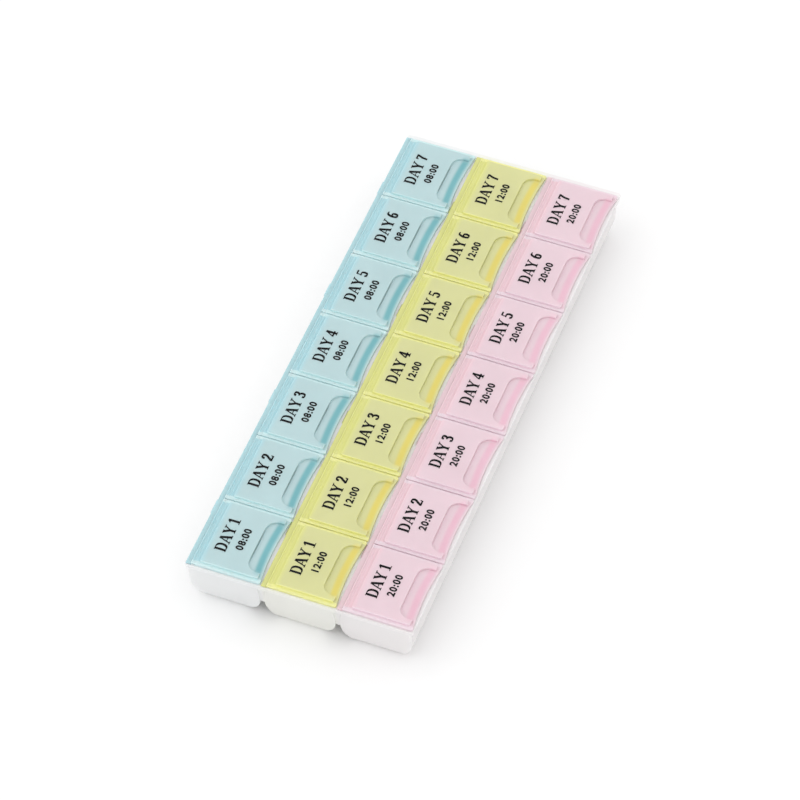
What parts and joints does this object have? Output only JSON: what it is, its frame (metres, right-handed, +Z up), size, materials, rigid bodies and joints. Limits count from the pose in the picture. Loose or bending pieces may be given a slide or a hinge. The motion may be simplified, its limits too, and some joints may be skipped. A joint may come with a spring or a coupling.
{
  "type": "weekly pill box",
  "caption": "Flat rectangular pill box: a translucent tray of rounded troughs split into compartments, each closed by its own hinged snap lid, in coloured columns.",
  "frame": {"origin": "on the table, under the middle of the tray's outline", "axes": "+Z up, +Y along the week from the first day's end to the last, +X across the columns, from a lid's hinge towards its front lip"},
  "size_m": [0.0844, 0.2168, 0.0202],
  "materials": {
    "tray": "translucent white moulded polypropylene, satin gloss",
    "blue_plastic": "translucent pale blue moulded polypropylene, satin panels and glossy edges",
    "yellow_plastic": "translucent pale yellow moulded polypropylene, satin panels and glossy edges",
    "pink_plastic": "translucent pale pink moulded polypropylene, satin panels and glossy edges"
  },
  "bodies": {
    "base": {"tray": "tray", "morning_hinge_rail": "blue_plastic", "noon_hinge_rail": "yellow_plastic", "night_hinge_rail": "pink_plastic"},
    "monday_morning_lid": {"monday_morning_lid": "blue_plastic"},
    "tuesday_morning_lid": {"tuesday_morning_lid": "blue_plastic"},
    "wednesday_morning_lid": {"wednesday_morning_lid": "blue_plastic"},
    "thursday_morning_lid": {"thursday_morning_lid": "blue_plastic"},
    "friday_morning_lid": {"friday_morning_lid": "blue_plastic"},
    "saturday_morning_lid": {"saturday_morning_lid": "blue_plastic"},
    "sunday_morning_lid": {"sunday_morning_lid": "blue_plastic"},
    "monday_noon_lid": {"monday_noon_lid": "yellow_plastic"},
    "tuesday_noon_lid": {"tuesday_noon_lid": "yellow_plastic"},
    "wednesday_noon_lid": {"wednesday_noon_lid": "yellow_plastic"},
    "thursday_noon_lid": {"thursday_noon_lid": "yellow_plastic"},
    "friday_noon_lid": {"friday_noon_lid": "yellow_plastic"},
    "saturday_noon_lid": {"saturday_noon_lid": "yellow_plastic"},
    "sunday_noon_lid": {"sunday_noon_lid": "yellow_plastic"},
    "monday_night_lid": {"monday_night_lid": "pink_plastic"},
    "tuesday_night_lid": {"tuesday_night_lid": "pink_plastic"},
    "wednesday_night_lid": {"wednesday_night_lid": "pink_plastic"},
    "thursday_night_lid": {"thursday_night_lid": "pink_plastic"},
    "friday_night_lid": {"friday_night_lid": "pink_plastic"},
    "saturday_night_lid": {"saturday_night_lid": "pink_plastic"},
    "sunday_night_lid": {"sunday_night_lid": "pink_plastic"}
  },
  "joints": [
    {"name": "monday_morning_hinge", "type": "hinge", "parent": "base", "child": "monday_morning_lid", "pos_m": [-0.03985, -0.0925, 0.0188], "axis": [0, -1, 0], "range_deg": [0, 130]},
    {"name": "tuesday_morning_hinge", "type": "hinge", "parent": "base", "child": "tuesday_morning_lid", "pos_m": [-0.03985, -0.0619, 0.0188], "axis": [0, -1, 0], "range_deg": [0, 130]},
    {"name": "wednesday_morning_hinge", "type": "hinge", "parent": "base", "child": "wednesday_morning_lid", "pos_m": [-0.03985, -0.0313, 0.0188], "axis": [0, -1, 0], "range_deg": [0, 130]},
    {"name": "thursday_morning_hinge", "type": "hinge", "parent": "base", "child": "thursday_morning_lid", "pos_m": [-0.03985, -0.0007, 0.0188], "axis": [0, -1, 0], "range_deg": [0, 130]},
    {"name": "friday_morning_hinge", "type": "hinge", "parent": "base", "child": "friday_morning_lid", "pos_m": [-0.03985, 0.0299, 0.0188], "axis": [0, -1, 0], "range_deg": [0, 130]},
    {"name": "saturday_morning_hinge", "type": "hinge", "parent": "base", "child": "saturday_morning_lid", "pos_m": [-0.03985, 0.0605, 0.0188], "axis": [0, -1, 0], "range_deg": [0, 130]},
    {"name": "sunday_morning_hinge", "type": "hinge", "parent": "base", "child": "sunday_morning_lid", "pos_m": [-0.03985, 0.0911, 0.0188], "axis": [0, -1, 0], "range_deg": [0, 130]},
    {"name": "monday_noon_hinge", "type": "hinge", "parent": "base", "child": "monday_noon_lid", "pos_m": [-0.01185, -0.0925, 0.0188], "axis": [0, -1, 0], "range_deg": [0, 130]},
    {"name": "tuesday_noon_hinge", "type": "hinge", "parent": "base", "child": "tuesday_noon_lid", "pos_m": [-0.01185, -0.0619, 0.0188], "axis": [0, -1, 0], "range_deg": [0, 130]},
    {"name": "wednesday_noon_hinge", "type": "hinge", "parent": "base", "child": "wednesday_noon_lid", "pos_m": [-0.01185, -0.0313, 0.0188], "axis": [0, -1, 0], "range_deg": [0, 130]},
    {"name": "thursday_noon_hinge", "type": "hinge", "parent": "base", "child": "thursday_noon_lid", "pos_m": [-0.01185, -0.0007, 0.0188], "axis": [0, -1, 0], "range_deg": [0, 130]},
    {"name": "friday_noon_hinge", "type": "hinge", "parent": "base", "child": "friday_noon_lid", "pos_m": [-0.01185, 0.0299, 0.0188], "axis": [0, -1, 0], "range_deg": [0, 130]},
    {"name": "saturday_noon_hinge", "type": "hinge", "parent": "base", "child": "saturday_noon_lid", "pos_m": [-0.01185, 0.0605, 0.0188], "axis": [0, -1, 0], "range_deg": [0, 130]},
    {"name": "sunday_noon_hinge", "type": "hinge", "parent": "base", "child": "sunday_noon_lid", "pos_m": [-0.01185, 0.0911, 0.0188], "axis": [0, -1, 0], "range_deg": [0, 130]},
    {"name": "monday_night_hinge", "type": "hinge", "parent": "base", "child": "monday_night_lid", "pos_m": [0.01615, -0.0925, 0.0188], "axis": [0, -1, 0], "range_deg": [0, 130]},
    {"name": "tuesday_night_hinge", "type": "hinge", "parent": "base", "child": "tuesday_night_lid", "pos_m": [0.01615, -0.0619, 0.0188], "axis": [0, -1, 0], "range_deg": [0, 130]},
    {"name": "wednesday_night_hinge", "type": "hinge", "parent": "base", "child": "wednesday_night_lid", "pos_m": [0.01615, -0.0313, 0.0188], "axis": [0, -1, 0], "range_deg": [0, 130]},
    {"name": "thursday_night_hinge", "type": "hinge", "parent": "base", "child": "thursday_night_lid", "pos_m": [0.01615, -0.0007, 0.0188], "axis": [0, -1, 0], "range_deg": [0, 130]},
    {"name": "friday_night_hinge", "type": "hinge", "parent": "base", "child": "friday_night_lid", "pos_m": [0.01615, 0.0299, 0.0188], "axis": [0, -1, 0], "range_deg": [0, 130]},
    {"name": "saturday_night_hinge", "type": "hinge", "parent": "base", "child": "saturday_night_lid", "pos_m": [0.01615, 0.0605, 0.0188], "axis": [0, -1, 0], "range_deg": [0, 130]},
    {"name": "sunday_night_hinge", "type": "hinge", "parent": "base", "child": "sunday_night_lid", "pos_m": [0.01615, 0.0911, 0.0188], "axis": [0, -1, 0], "range_deg": [0, 130]}
  ]
}
